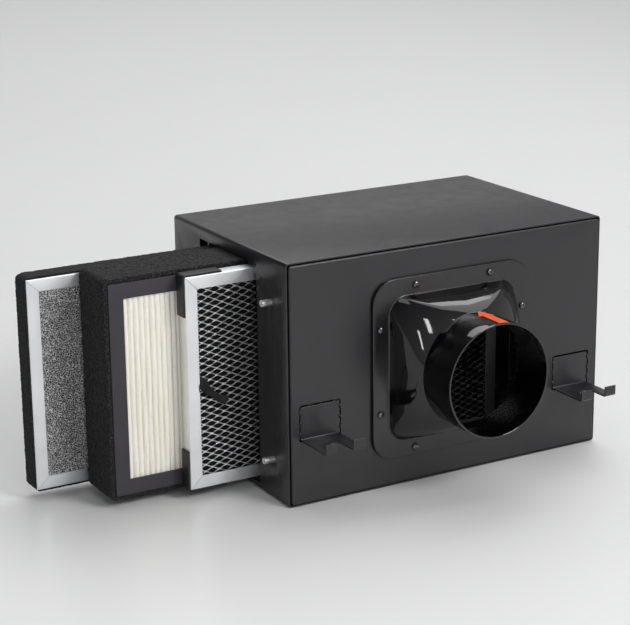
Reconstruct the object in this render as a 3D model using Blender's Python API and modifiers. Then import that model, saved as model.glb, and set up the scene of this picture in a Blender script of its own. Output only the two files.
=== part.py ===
"""Inline fume filter box with three slide-out cartridges.

A folded steel housing hangs in a 100 mm duct run. Air enters the collar on the -Y end, passes a
metal-mesh prefilter, a pleated HEPA cartridge and a carbon cartridge, and leaves by the +Y collar.
The cartridges slide in X through the opening in the -X wall.

Units are metres and +Z is up. The origin is the centre of the housing's bottom face.
"""

import math

import bmesh
import bpy
from mathutils import Vector

# ---------------------------------------------------------------- driving dimensions
GAP = 0.0003                 # clearance between pieces that touch
SHEET = 0.0012               # folded steel sheet

HOUSING_WIDTH = 0.314        # X
HOUSING_DEPTH = 0.206        # Y, over both end panels
HOUSING_HEIGHT = 0.208       # Z
HOUSING_BEND = 0.003         # outside radius of the folded shell
PANEL_STEP = 0.0016          # how far a panel's face stands out of the shell
PANEL_SEAM = 0.001           # dark joint all round, between panel and shell
PANEL_ROLL = 0.0016          # radius of a panel's rolled edge
PANEL_FLANGE = 0.012         # depth of the flange inside the shell

BAY_HALF_DEPTH = 0.0515      # the cartridge opening, in Y
BAY_FLOOR = 0.0062           # the opening's lower edge and the lower guide's face
BAY_CEILING = 0.1972         # the opening's upper edge and the upper guide's face
GUIDE_FIN = 0.001            # thickness of the upright fins between cartridges
GUIDE_SLACK = 0.00035        # side play between a fin and a cartridge
GUIDE_FOOT = 0.0013          # thickness of the fins' spot-welded feet
GUIDE_FOOT_WIDTH = 0.0122
GUIDE_CATCH = 0.0075         # how far a fin stands above its foot

STUD_Y = 0.0768              # cover standoffs, either side of the opening
STUD_HEIGHTS = (0.0358, 0.171)
STUD_RADIUS = 0.0028
STUD_LENGTH = 0.010

DUCT_RADIUS = 0.04925        # outside of the spigot, for a 100 mm hose
COLLAR_WALL = 0.0018
COLLAR_HALF = 0.0784         # half the square flange
COLLAR_CORNER = 0.0208
COLLAR_THICKNESS = 0.003
FUNNEL_HALF = 0.063
FUNNEL_CORNER = 0.0166
FUNNEL_END = 0.034           # distance from the panel where the funnel has become round
SPIGOT_END = 0.0724
SCREW_OFFSET = 0.0369        # along each flange side, from its middle
SCREW_DISTANCE = 0.0713      # from the duct axis to a row of screws
SCREW_HOLE = 0.0019

HOOK_WIDTH = 0.037
HOOK_CENTRE_X = 0.1275
HOOK_TOP = 0.0862
HOOK_SHELF = 0.0575
HOOK_REACH = 0.0408
HOOK_LIP = 0.0088
HOOK_SLOT = 0.014
HOOK_SLOT_START = 0.0195     # distance from the panel to the slot's round end
HOOK_WINDOW_TOP = 0.0016     # clearance above a hook's plate in its window
HOOK_WINDOW_SIDE = 0.0011    # clearance beside it, bridged by tack welds
HOOK_WELDS = (0.2, 0.52, 0.84)  # heights of the tack welds, as shares of the plate
FUNNEL_SWELL = 2.0           # above 1, the funnel's corners open out late

CARTRIDGE_LENGTH = 0.311
CARTRIDGE_SEATED_X = -0.0012  # centre of a cartridge that is pushed home

PREFILTER_PULLED = 0.0639
PREFILTER_FRONT = -0.045
PREFILTER_DEPTH = 0.0125
PREFILTER_HEIGHT = 0.1832
PREFILTER_CENTRE_Z = 0.1013
PREFILTER_FACE = 0.011
CHANNEL_SHEET = 0.0008
CAP_THICKNESS = 0.0015
CAP_LEG = 0.034

HEPA_PULLED = 0.1278
HEPA_DEPTH = 0.0498
HEPA_FRAME_HEIGHT = 0.1804
HEPA_CENTRE_Z = 0.1018
HEPA_FACE = 0.013
HEPA_BOARD = 0.003
HEPA_LIP = 0.0015
HEPA_FOAM = 0.0048
HEPA_FOAM_CORNER = 0.0055
PLEAT_PITCH = 0.0048
PLEAT_PAPER = 0.0006

CARBON_PULLED = 0.1745
CARBON_DEPTH = 0.0203
CARBON_FRAME_HEIGHT = 0.1812
CARBON_CENTRE_Z = 0.1008
CARBON_FACE = 0.0107
CARBON_FELT = 0.0022
CARBON_FELT_CORNER = 0.0065

# ---------------------------------------------------------------- derived planes
DUCT_Z = HOUSING_HEIGHT / 2
END_Y = HOUSING_DEPTH / 2
FIN_PITCH = GUIDE_FIN + 2 * GUIDE_SLACK
PREFILTER_BACK = PREFILTER_FRONT + PREFILTER_DEPTH
HEPA_FRONT = PREFILTER_BACK + FIN_PITCH
HEPA_BACK = HEPA_FRONT + HEPA_DEPTH
CARBON_FRONT = HEPA_BACK + FIN_PITCH
CARBON_BACK = CARBON_FRONT + CARBON_DEPTH


# ---------------------------------------------------------------- scene and materials
def clear_scene():
    for obj in list(bpy.data.objects):
        bpy.data.objects.remove(obj, do_unlink=True)


def new_collection(name):
    collection = bpy.data.collections.new(name)
    bpy.context.scene.collection.children.link(collection)
    return collection


def new_material(name, colour, roughness, metallic=0.0):
    material = bpy.data.materials.new(name)
    material.use_nodes = True
    shader = material.node_tree.nodes["Principled BSDF"]
    shader.inputs["Base Color"].default_value = (*colour, 1.0)
    shader.inputs["Roughness"].default_value = roughness
    shader.inputs["Metallic"].default_value = metallic
    return material


clear_scene()
PARTS = new_collection("solder_fume_extractor")
CUTTERS = new_collection("cutters")

POWDER_COAT = new_material("powder_coat", (0.045, 0.045, 0.048), 0.55, 0.2)
GLOSS_BLACK = new_material("gloss_black", (0.012, 0.012, 0.014), 0.12)
BLACK_ZINC = new_material("black_zinc", (0.05, 0.05, 0.055), 0.3, 1.0)
BRIGHT_ZINC = new_material("bright_zinc", (0.72, 0.72, 0.70), 0.28, 1.0)
GALVANISED = new_material("galvanised", (0.42, 0.43, 0.44), 0.45, 1.0)
ALUMINIUM = new_material("aluminium", (0.75, 0.76, 0.78), 0.35, 1.0)
BLACK_PLASTIC = new_material("black_plastic", (0.03, 0.03, 0.032), 0.5)
FRAME_BOARD = new_material("frame_board", (0.06, 0.056, 0.065), 0.7)
FILTER_PAPER = new_material("filter_paper", (0.82, 0.80, 0.72), 0.9)
BLACK_FOAM = new_material("black_foam", (0.018, 0.018, 0.018), 0.95)
CARBON_FOAM = new_material("carbon_foam", (0.16, 0.165, 0.16), 0.9)
WEBBING = new_material("webbing", (0.02, 0.02, 0.021), 0.85)
LABEL_ORANGE = new_material("label_orange", (0.9, 0.14, 0.02), 0.5)


# ---------------------------------------------------------------- building helpers
def place(obj, material, location=(0, 0, 0), rotation=(0, 0, 0), parent=None):
    """Put a finished part in the parts collection."""
    obj.data.materials.append(material)
    obj.location = location
    obj.rotation_euler = rotation
    obj.parent = parent
    PARTS.objects.link(obj)
    return obj


def place_cutter(obj, location=(0, 0, 0), rotation=(0, 0, 0)):
    obj.location = location
    obj.rotation_euler = rotation
    obj.hide_render = True
    obj.display_type = "WIRE"
    CUTTERS.objects.link(obj)
    return obj


def cut(obj, cutter, operation="DIFFERENCE"):
    modifier = obj.modifiers.new("cut_" + cutter.name, "BOOLEAN")
    modifier.operation = operation
    modifier.solver = "EXACT"
    modifier.object = cutter


def body_empty(name, x, y, z):
    """The carrier of one cartridge; it stands on the cartridge's slide axis."""
    empty = bpy.data.objects.new(name, None)
    empty.location = (x, y, z)
    PARTS.objects.link(empty)
    return empty


def object_from_bmesh(name, bm, smooth_angle=30):
    mesh = bpy.data.meshes.new(name)
    bmesh.ops.recalc_face_normals(bm, faces=bm.faces)
    bm.to_mesh(mesh)
    bm.free()
    mesh.shade_smooth()
    mesh.set_sharp_from_angle(angle=math.radians(smooth_angle))
    return bpy.data.objects.new(name, mesh)


def block(name, size):
    """A box of the given size, centred on its origin."""
    bm = bmesh.new()
    bmesh.ops.create_cube(bm, size=1.0)
    bmesh.ops.scale(bm, vec=size, verts=bm.verts)
    return object_from_bmesh(name, bm)


def plate(name, loops, thickness):
    """A flat plate in local XY, thickness along Z; loops after the first are holes."""
    curve = bpy.data.curves.new(name, "CURVE")
    curve.dimensions = "2D"
    curve.fill_mode = "BOTH"
    curve.extrude = thickness / 2
    for loop in loops:
        spline = curve.splines.new("POLY")
        spline.points.add(len(loop) - 1)
        spline.use_cyclic_u = True
        for point, (x, y) in zip(spline.points, loop):
            point.co = (x, y, 0, 1)
    outline = bpy.data.objects.new(name + "_outline", curve)
    bpy.context.scene.collection.objects.link(outline)
    evaluated = outline.evaluated_get(bpy.context.evaluated_depsgraph_get())
    mesh = bpy.data.meshes.new_from_object(evaluated)
    bpy.data.objects.remove(outline, do_unlink=True)
    bm = bmesh.new()
    bm.from_mesh(mesh)
    bmesh.ops.remove_doubles(bm, verts=bm.verts, dist=1e-6)
    return object_from_bmesh(name, bm)


def turned(name, profile, steps):
    """A solid of revolution about local Z; profile runs (radius, z) down the outside."""
    mesh = bpy.data.meshes.new(name)
    points = [(radius, 0.0, z) for radius, z in profile]
    mesh.from_pydata(points, [(i, i + 1) for i in range(len(points) - 1)], [])
    obj = bpy.data.objects.new(name, mesh)
    screw = obj.modifiers.new("turn", "SCREW")
    screw.axis = "Z"
    screw.steps = steps
    screw.render_steps = steps
    screw.use_merge_vertices = True
    screw.merge_threshold = 0.00001
    screw.use_smooth_shade = True
    return obj


def rounded_ring(half_x, half_z, radius, y, steps=4):
    """Points of a rounded rectangle in the plane y, with one more in the middle of each side."""
    middles = ((0, half_z), (-half_x, 0), (0, -half_z), (half_x, 0))
    points = []
    for quarter, (sign_x, sign_z) in enumerate(((1, 1), (-1, 1), (-1, -1), (1, -1))):
        centre_x = sign_x * (half_x - radius)
        centre_z = sign_z * (half_z - radius)
        for step in range(steps + 1):
            angle = math.radians(90 * quarter + 90 * step / steps)
            points.append(Vector((centre_x + radius * math.cos(angle), y,
                                  centre_z + radius * math.sin(angle))))
        middle_x, middle_z = middles[quarter]
        points.append(Vector((middle_x, y, middle_z)))
    return points


def closed_loft(name, rings):
    """A ring-shaped solid: each ring is joined to the next and the last to the first."""
    bm = bmesh.new()
    layers = [[bm.verts.new(point) for point in ring] for ring in rings]
    count = len(rings[0])
    for layer, following in zip(layers, layers[1:] + layers[:1]):
        for i in range(count):
            j = (i + 1) % count
            bm.faces.new((layer[i], layer[j], following[j], following[i]))
    return object_from_bmesh(name, bm)


def arc_points(centre, radius, start, end, steps):
    """Points on an arc, angles in degrees."""
    angles = [math.radians(start + (end - start) * i / steps) for i in range(steps + 1)]
    return [(centre[0] + radius * math.cos(a), centre[1] + radius * math.sin(a)) for a in angles]


# Rotations that stand a local XY outline up in the world.
FACING_FRONT = (math.pi / 2, 0, 0)           # outline in XZ, local Z towards -Y
FACING_BACK = (math.pi / 2, 0, math.pi)      # the same, turned to face +Y
ALONG_X = (math.pi / 2, 0, math.pi / 2)      # outline in YZ, local Z along +X


# ---------------------------------------------------------------- housing
def housing_shell():
    """The folded tube: floor, roof and two side walls, open at both ends."""
    half_x, half_z = HOUSING_WIDTH / 2, HOUSING_HEIGHT / 2
    end = END_Y - PANEL_STEP
    inner_bend = HOUSING_BEND - SHEET
    shell = closed_loft("housing_shell", [
        rounded_ring(half_x, half_z, HOUSING_BEND, -end),
        rounded_ring(half_x, half_z, HOUSING_BEND, end),
        rounded_ring(half_x - SHEET, half_z - SHEET, inner_bend, end),
        rounded_ring(half_x - SHEET, half_z - SHEET, inner_bend, -end),
    ])
    place(shell, POWDER_COAT, location=(0, 0, DUCT_Z))

    opening = block("bay_opening", (0.01, 2 * BAY_HALF_DEPTH, BAY_CEILING - BAY_FLOOR))
    place_cutter(opening, location=(-half_x, 0, (BAY_FLOOR + BAY_CEILING) / 2))
    cut(shell, opening)
    for side in (-1, 1):
        for level, z in enumerate(STUD_HEIGHTS):
            name = f"stud_hole_{'front' if side < 0 else 'rear'}_{level + 1}"
            depth = 0.005
            hole = turned(name, [(0, depth), (STUD_RADIUS + GAP, depth),
                                 (STUD_RADIUS + GAP, -depth), (0, -depth)], 16)
            place_cutter(hole, location=(-half_x, side * STUD_Y, z), rotation=(0, math.pi / 2, 0))
            cut(shell, hole)


def screw_places():
    """Centres of a collar's eight screws, as offsets (x, z) from the duct axis."""
    places = []
    for along in (-SCREW_OFFSET, SCREW_OFFSET):
        for across in (-SCREW_DISTANCE, SCREW_DISTANCE):
            places.append((along, across))
            places.append((across, along))
    return places


def screw_hole_cutter(name, y):
    """All eight screw holes of one end in one cutter."""
    bm = bmesh.new()
    for x, z in screw_places():
        made = bmesh.ops.create_cone(bm, cap_ends=True, segments=12, radius1=SCREW_HOLE,
                                     radius2=SCREW_HOLE, depth=0.02)
        for vert in made["verts"]:
            vert.co = Vector((x + vert.co.x, -vert.co.z, z + vert.co.y))
    return place_cutter(object_from_bmesh(name, bm), location=(0, y, DUCT_Z))


def end_panel(name, facing, holes):
    """A pan with rolled edges whose flange goes inside the shell, with windows for two hooks."""
    half_x = HOUSING_WIDTH / 2 - SHEET - PANEL_SEAM
    half_z = HOUSING_HEIGHT / 2 - SHEET - PANEL_SEAM
    hole = FUNNEL_HALF - COLLAR_WALL
    hole_corner = FUNNEL_CORNER - COLLAR_WALL
    corner = 0.0022

    def outer(inset, depth):
        return rounded_ring(half_x - inset, half_z - inset, corner - inset, depth)

    rings = [
        rounded_ring(hole, hole, hole_corner, SHEET),
        rounded_ring(hole, hole, hole_corner, 0),
        outer(PANEL_ROLL, 0),
        outer(0.6 * PANEL_ROLL, 0.08 * PANEL_ROLL),
        outer(0.3 * PANEL_ROLL, 0.3 * PANEL_ROLL),
        outer(0.08 * PANEL_ROLL, 0.6 * PANEL_ROLL),
        outer(0, PANEL_ROLL),
        outer(0, PANEL_FLANGE),
        outer(SHEET, PANEL_FLANGE),
        outer(SHEET, SHEET),
    ]
    panel = closed_loft(name, rings)
    turn = 0 if facing < 0 else math.pi
    place(panel, POWDER_COAT, location=(0, facing * END_Y, DUCT_Z), rotation=(0, 0, turn))
    cut(panel, holes)
    low, high = HOOK_SHELF - SHEET / 2 - 0.0006, HOOK_TOP + HOOK_WINDOW_TOP
    for side in (-1, 1):
        window = block(f"{name}_hook_window_{side}", (HOOK_WIDTH + 2 * HOOK_WINDOW_SIDE, 0.01, high - low))
        place_cutter(window, location=(side * HOOK_CENTRE_X, facing * END_Y, (low + high) / 2))
        cut(panel, window)


def guide_outline(floor, ends, up):
    """Section (y, z) of a guide: a web with spot-welded angles whose fins part the cartridges.

    floor is the face the cartridges run on, ends the height of the two legs' ends, and up is
    +1 for the lower guide and -1 for the upper one.
    """
    foot = floor + up * GUIDE_FOOT
    fin = foot + up * GUIDE_CATCH
    front_fin = PREFILTER_FRONT - GUIDE_SLACK
    first_fin = PREFILTER_BACK + GUIDE_SLACK
    second_fin = HEPA_BACK + GUIDE_SLACK
    rear_fin = CARBON_BACK + GUIDE_SLACK
    levels = [
        (-BAY_HALF_DEPTH, front_fin - GUIDE_FIN, foot),
        (front_fin - GUIDE_FIN, front_fin, fin),
        (front_fin, first_fin - GUIDE_FOOT_WIDTH, floor),
        (first_fin - GUIDE_FOOT_WIDTH, first_fin, foot),
        (first_fin, first_fin + GUIDE_FIN, fin),
        (first_fin + GUIDE_FIN, second_fin, floor),
        (second_fin, second_fin + GUIDE_FIN, fin),
        (second_fin + GUIDE_FIN, second_fin + GUIDE_FOOT_WIDTH, foot),
        (second_fin + GUIDE_FOOT_WIDTH, rear_fin, floor),
        (rear_fin, rear_fin + GUIDE_FIN, fin),
        (rear_fin + GUIDE_FIN, BAY_HALF_DEPTH, foot),
    ]
    outline = [(-BAY_HALF_DEPTH, ends)]
    for start, end, level in levels:
        outline += [(start, level), (end, level)]
    under = floor - up * 0.001
    inner = BAY_HALF_DEPTH - 0.001
    outline += [(BAY_HALF_DEPTH, ends), (inner, ends), (inner, under), (-inner, under), (-inner, ends)]
    return outline


def cartridge_guides():
    length = HOUSING_WIDTH - 2 * HOUSING_BEND - 2 * GAP
    lower = plate("guide_rail_lower", [guide_outline(BAY_FLOOR, SHEET + GAP, 1)], length)
    place(lower, GALVANISED, rotation=ALONG_X)
    roof = HOUSING_HEIGHT - SHEET - GAP
    upper = plate("guide_rail_upper", [guide_outline(BAY_CEILING, roof, -1)], length)
    place(upper, GALVANISED, rotation=ALONG_X)


def cover_standoffs():
    """Blind threaded standoffs clinched through the -X wall, for the side cover's screws."""
    bore = 0.0015
    tip = STUD_LENGTH
    chamfer = 0.0003
    inside = -SHEET - GAP
    head_radius, head_thickness = 0.0038, 0.0012
    profile = [
        (0, 0.002), (bore, 0.002), (bore, tip - chamfer), (bore + chamfer, tip),
        (STUD_RADIUS - chamfer, tip), (STUD_RADIUS, tip - chamfer), (STUD_RADIUS, inside),
        (head_radius, inside), (head_radius, inside - head_thickness), (0, inside - head_thickness),
    ]
    for side, end_name in ((-1, "front"), (1, "rear")):
        for z, level in zip(STUD_HEIGHTS, ("lower", "upper")):
            stud = turned(f"cover_standoff_{end_name}_{level}", profile, 16)
            place(stud, BRIGHT_ZINC, location=(-HOUSING_WIDTH / 2, side * STUD_Y, z),
                  rotation=(0, -math.pi / 2, 0))


# ---------------------------------------------------------------- duct collars
def collar_ring(half, radius, roundness, duct_radius, y, steps=6):
    """A section of the collar: a rounded square that turns into a circle as roundness grows.

    The middle of each side runs to a narrow facet of the circle, and the corners open out into
    fans, so the funnel has four nearly flat sides and four conical corners.
    """
    facet = 5.0
    points = []
    for quarter in range(4):
        turn = math.radians(90 * quarter)
        square = [Vector((half, 0))]
        circle = [Vector((duct_radius, 0))]
        for step in range(steps + 1):
            corner = math.radians(90 * step / steps)
            square.append(Vector((half - radius + radius * math.cos(corner),
                                  half - radius + radius * math.sin(corner))))
            spread = math.radians(facet + (90 - 2 * facet) * step / steps)
            circle.append(Vector((duct_radius * math.cos(spread), duct_radius * math.sin(spread))))
        for start, end in zip(square, circle):
            flat = start.lerp(end, roundness)
            points.append(Vector((flat.x * math.cos(turn) - flat.y * math.sin(turn), y,
                                  flat.x * math.sin(turn) + flat.y * math.cos(turn))))
    return points


def funnel_rings(half, radius, duct_radius, start, end):
    """Sections from the square root at start to the round throat at end, sides closing evenly."""
    rings = []
    for fraction in (0.0, 0.25, 0.45, 0.6, 0.75, 0.88, 1.0):
        size = half + (duct_radius - half) * fraction
        rings.append(collar_ring(size, radius, fraction ** FUNNEL_SWELL, size,
                                 start + (end - start) * fraction))
    return rings


def duct_collar(name, facing, holes):
    """The moulded flange, square-to-round funnel and spigot, hollow right through."""
    edge = 0.0008
    inner_duct = DUCT_RADIUS - COLLAR_WALL
    inner_half = FUNNEL_HALF - COLLAR_WALL
    inner_corner = FUNNEL_CORNER - COLLAR_WALL
    face = -COLLAR_THICKNESS - GAP

    def flange(half, y):
        return collar_ring(half, COLLAR_CORNER + half - COLLAR_HALF, 0, DUCT_RADIUS, y)

    outside = [flange(COLLAR_HALF, -GAP), flange(COLLAR_HALF, face + edge),
               flange(COLLAR_HALF - edge, face)]
    outside += funnel_rings(FUNNEL_HALF, FUNNEL_CORNER, DUCT_RADIUS, face, -FUNNEL_END)
    outside.append(collar_ring(FUNNEL_HALF, FUNNEL_CORNER, 1, DUCT_RADIUS, -SPIGOT_END + 0.0005))
    outside.append(collar_ring(FUNNEL_HALF, FUNNEL_CORNER, 1, DUCT_RADIUS - 0.0004, -SPIGOT_END))
    inside = funnel_rings(inner_half, inner_corner, inner_duct, face + COLLAR_WALL,
                          -FUNNEL_END + 0.0012)
    inside.insert(0, collar_ring(inner_half, inner_corner, 0, inner_duct, -GAP))
    inside.append(collar_ring(inner_half, inner_corner, 1, inner_duct, -SPIGOT_END))
    collar = closed_loft(name, outside + inside[::-1])
    turn = 0 if facing < 0 else math.pi
    place(collar, GLOSS_BLACK, location=(0, facing * END_Y, DUCT_Z), rotation=(0, 0, turn))
    cut(collar, holes)


def collar_screws(end_name, facing):
    head_radius, head_height = 0.0029, 0.0019
    shank_radius, shank_length = 0.00145, 0.0075
    profile = [(0, head_height), (0.45 * head_radius, 0.93 * head_height),
               (0.85 * head_radius, 0.62 * head_height), (head_radius, 0.2 * head_height),
               (head_radius, 0), (shank_radius, 0), (shank_radius, -shank_length + shank_radius),
               (0.2 * shank_radius, -shank_length), (0, -shank_length)]
    seat = END_Y + GAP + COLLAR_THICKNESS + GAP
    tilt = math.pi / 2 if facing < 0 else -math.pi / 2
    for number, (x, z) in enumerate(screw_places(), start=1):
        screw = turned(f"{end_name}_screw_{number}", profile, 12)
        place(screw, BLACK_ZINC, location=(x, facing * seat, DUCT_Z + z), rotation=(tilt, 0, 0))


def airflow_arrow():
    """A thin arrow label wrapped over the top of the inlet spigot, pointing into the box."""
    radius, thickness, lean = DUCT_RADIUS + GAP, 0.0002, 4.5
    stations = [(0.0345, 0.0006), (0.0475, 0.0078), (0.0478, 0.0046), (0.0716, 0.0046)]
    segments = 8
    rings = []
    for distance, half_width in stations:
        spread = math.degrees(half_width / radius)
        top = 90 - lean
        outer = arc_points((0, 0), radius + thickness, top - spread, top + spread, segments)
        inner = arc_points((0, 0), radius, top + spread, top - spread, segments)
        rings.append([Vector((x, -distance, z)) for x, z in outer + inner])
    bm = bmesh.new()
    layers = [[bm.verts.new(point) for point in ring] for ring in rings]
    count = len(rings[0])
    for layer, following in zip(layers, layers[1:]):
        for i in range(count):
            j = (i + 1) % count
            bm.faces.new((layer[i], layer[j], following[j], following[i]))
    for layer in (layers[0], layers[-1]):
        for i in range(segments):
            bm.faces.new((layer[i], layer[i + 1], layer[count - 2 - i], layer[count - 1 - i]))
    place(object_from_bmesh("airflow_arrow", bm), LABEL_ORANGE, location=(0, -END_Y, DUCT_Z))


# ---------------------------------------------------------------- hanging hooks
def folded_path(corners, radius, steps=3):
    """A path through (y, z) corners with each inner corner rounded by an arc."""
    path = [Vector(corners[0])]
    for before, corner, after in zip(corners, corners[1:], corners[2:]):
        corner = Vector(corner)
        arrive = (Vector(before) - corner).normalized()
        leave = (Vector(after) - corner).normalized()
        centre = corner + (arrive + leave) * radius
        for step in range(steps + 1):
            angle = math.radians(90 * step / steps)
            path.append(centre - leave * radius * math.cos(angle) - arrive * radius * math.sin(angle))
    path.append(Vector(corners[-1]))
    return path


def hanging_hook(name, x, facing, slot_cutter):
    """A forked bracket tack-welded into a window of an end panel, its plate level with the panel.

    A hanging rod drops into its slot. The tack welds are nubs that stop just short of the panel.
    """
    corners = [(SHEET / 2, HOOK_TOP), (SHEET / 2, HOOK_SHELF), (-HOOK_REACH, HOOK_SHELF),
               (-HOOK_REACH, HOOK_SHELF + HOOK_LIP)]
    bm = bmesh.new()
    rows = [[bm.verts.new((side * HOOK_WIDTH / 2, y, z)) for side in (-1, 1)]
            for y, z in folded_path(corners, 0.0016)]
    for low, high in zip(rows, rows[1:]):
        bm.faces.new((low[0], low[1], high[1], high[0]))
    hook = object_from_bmesh(name, bm)
    solidify = hook.modifiers.new("sheet", "SOLIDIFY")
    solidify.thickness = SHEET
    solidify.offset = 0
    solidify.use_even_offset = True
    turn = 0 if facing < 0 else math.pi
    place(hook, POWDER_COAT, location=(x, facing * END_Y, 0), rotation=(0, 0, turn))
    cut(hook, slot_cutter)
    nub = HOOK_WINDOW_SIDE - GAP
    root = 0.0005
    for side in (-1, 1):
        for number, share in enumerate(HOOK_WELDS, start=1):
            weld = block(f"{name}_weld_{side}_{number}", (nub + root, 0.7 * SHEET, 0.002))
            place_cutter(weld, location=(x + side * (HOOK_WIDTH / 2 + (nub - root) / 2),
                                         facing * (END_Y - SHEET / 2),
                                         HOOK_SHELF + share * (HOOK_TOP - HOOK_SHELF)))
            cut(hook, weld, "UNION")


def hanging_hooks():
    half = HOOK_SLOT / 2
    far = HOOK_REACH + 0.01
    slot = [(half, -far), (half, -HOOK_SLOT_START - half)]
    slot += arc_points((0, -HOOK_SLOT_START - half), half, 0, 180, 10)[1:-1]
    slot += [(-half, -HOOK_SLOT_START - half), (-half, -far)]
    for end_name, facing in (("front", -1), ("rear", 1)):
        for side_name, x in (("left", -HOOK_CENTRE_X), ("right", HOOK_CENTRE_X)):
            cutter = plate(f"slot_{end_name}_{side_name}", [slot], 0.03)
            turn = 0 if facing < 0 else math.pi
            place_cutter(cutter, location=(x, facing * END_Y, HOOK_SHELF + 0.005),
                         rotation=(0, 0, turn))
            hanging_hook(f"hanging_hook_{end_name}_{side_name}", x, facing, cutter)


# ---------------------------------------------------------------- cartridges
def mitred_channel(name, length, face, depth):
    """A U channel along X, open downwards, with its outer edge at z = 0 and front at y = 0.

    Each profile point is shortened by its own inset, which mitres both ends.
    """
    sheet = CHANNEL_SHEET
    profile = [(0, 0), (face, 0), (face, sheet), (sheet, sheet), (sheet, depth - sheet),
               (face, depth - sheet), (face, depth), (0, depth)]
    mitre_gap = 0.75 * GAP
    bm = bmesh.new()
    ends = [[bm.verts.new((side * (length / 2 - mitre_gap - inset), y, -inset))
             for inset, y in profile] for side in (-1, 1)]
    count = len(profile)
    for i in range(count):
        j = (i + 1) % count
        bm.faces.new((ends[0][i], ends[0][j], ends[1][j], ends[1][i]))
    bm.faces.new(ends[0])
    bm.faces.new(ends[1])
    return object_from_bmesh(name, bm)


def channel_frame(prefix, width, height, face, depth, material, parent):
    """Four mitred channels round a rectangle that is centred on the parent."""
    sides = [("top", width, 0, (0, height / 2)), ("bottom", width, math.pi, (0, -height / 2)),
             ("outer", height, -math.pi / 2, (-width / 2, 0)),
             ("inner", height, math.pi / 2, (width / 2, 0))]
    for side, length, turn, (x, z) in sides:
        channel = mitred_channel(f"{prefix}_frame_{side}", length, face, depth)
        place(channel, material, location=(x, 0, z), rotation=(0, turn, 0), parent=parent)


def corner_cap(name):
    """An L clip that wraps a frame corner; its inner corner is the local origin."""
    inner, outer, leg = GAP, GAP + CAP_THICKNESS, CAP_LEG
    outline = [(inner, -leg), (outer, -leg)]
    outline += arc_points((outer - 0.0025, outer - 0.0025), 0.0025, 0, 90, 4)
    outline += [(-leg, outer), (-leg, inner), (inner, inner)]
    return plate(name, [outline], PREFILTER_DEPTH - 0.0004)


def pull_tab_outline():
    """The webbing tab, drooping towards +X; local origin at its root in the frame's inner edge."""
    return [(0.0006, 0.0068), (0.0062, 0.0016), (0.0105, -0.0052), (0.0212, -0.0110),
            (0.0215, -0.0208), (0.0175, -0.0212), (0.0112, -0.0132), (0.0062, -0.0082),
            (0.0006, -0.0068)]


def prefilter():
    """Expanded-metal cartridge: channel frame, two meshes with a pad between, caps and pull tab."""
    carrier = body_empty("prefilter_slide", CARTRIDGE_SEATED_X - PREFILTER_PULLED,
                         PREFILTER_FRONT, PREFILTER_CENTRE_Z)
    cap_reach = GAP + CAP_THICKNESS
    width = CARTRIDGE_LENGTH - 2 * cap_reach
    channel_frame("prefilter", width, PREFILTER_HEIGHT, PREFILTER_FACE, PREFILTER_DEPTH,
                  ALUMINIUM, carrier)

    inside_x = width - 2 * CHANNEL_SHEET - 2 * GAP
    inside_z = PREFILTER_HEIGHT - 2 * CHANNEL_SHEET - 2 * GAP
    mesh_thickness = 0.0008
    mesh_y = CHANNEL_SHEET + GAP + mesh_thickness / 2
    front = block("prefilter_mesh_front", (inside_x, mesh_thickness, inside_z))
    place(front, ALUMINIUM, location=(0, mesh_y, 0), parent=carrier)
    back = block("prefilter_mesh_back", (inside_x, mesh_thickness, inside_z))
    place(back, ALUMINIUM, location=(0, PREFILTER_DEPTH - mesh_y, 0), parent=carrier)
    pad_depth = PREFILTER_DEPTH - 2 * (mesh_y + mesh_thickness / 2 + GAP)
    pad = block("prefilter_pad", (inside_x, pad_depth, inside_z))
    place(pad, BLACK_FOAM, location=(0, PREFILTER_DEPTH / 2, 0), parent=carrier)

    corners = [("inner_top", 1, 1, 0), ("inner_bottom", 1, -1, math.pi / 2),
               ("outer_bottom", -1, -1, math.pi), ("outer_top", -1, 1, -math.pi / 2)]
    for corner, side_x, side_z, turn in corners:
        cap = corner_cap(f"prefilter_cap_{corner}")
        place(cap, BLACK_PLASTIC, rotation=(math.pi / 2, turn, 0), parent=carrier,
              location=(side_x * width / 2, PREFILTER_DEPTH / 2, side_z * PREFILTER_HEIGHT / 2))

    tab_thickness = 0.0014
    tab = plate("prefilter_pull_tab", [pull_tab_outline()], tab_thickness)
    place(tab, WEBBING, rotation=FACING_FRONT, parent=carrier,
          location=(-width / 2 + PREFILTER_FACE, -GAP - tab_thickness, -0.0013))


def pleat_pack(name, width, depth, height):
    """Folded filter paper: a zigzag across X with flat fold tips, thickened into a solid."""
    count = int(width / PLEAT_PITCH)
    tip = 0.0006
    reach = (depth - PLEAT_PAPER) / 2
    path = []
    for fold in range(2 * count + 1):
        x = (fold - count) * PLEAT_PITCH / 2
        y = -reach if fold % 2 else reach
        path += [(x - tip, y), (x + tip, y)]
    bm = bmesh.new()
    rows = [[bm.verts.new((x, y, side * height / 2)) for side in (-1, 1)] for x, y in path]
    for low, high in zip(rows, rows[1:]):
        bm.faces.new((low[0], low[1], high[1], high[0]))
    pack = object_from_bmesh(name, bm)
    solidify = pack.modifiers.new("paper", "SOLIDIFY")
    solidify.thickness = PLEAT_PAPER
    solidify.offset = 0
    solidify.use_even_offset = True
    return pack


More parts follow.
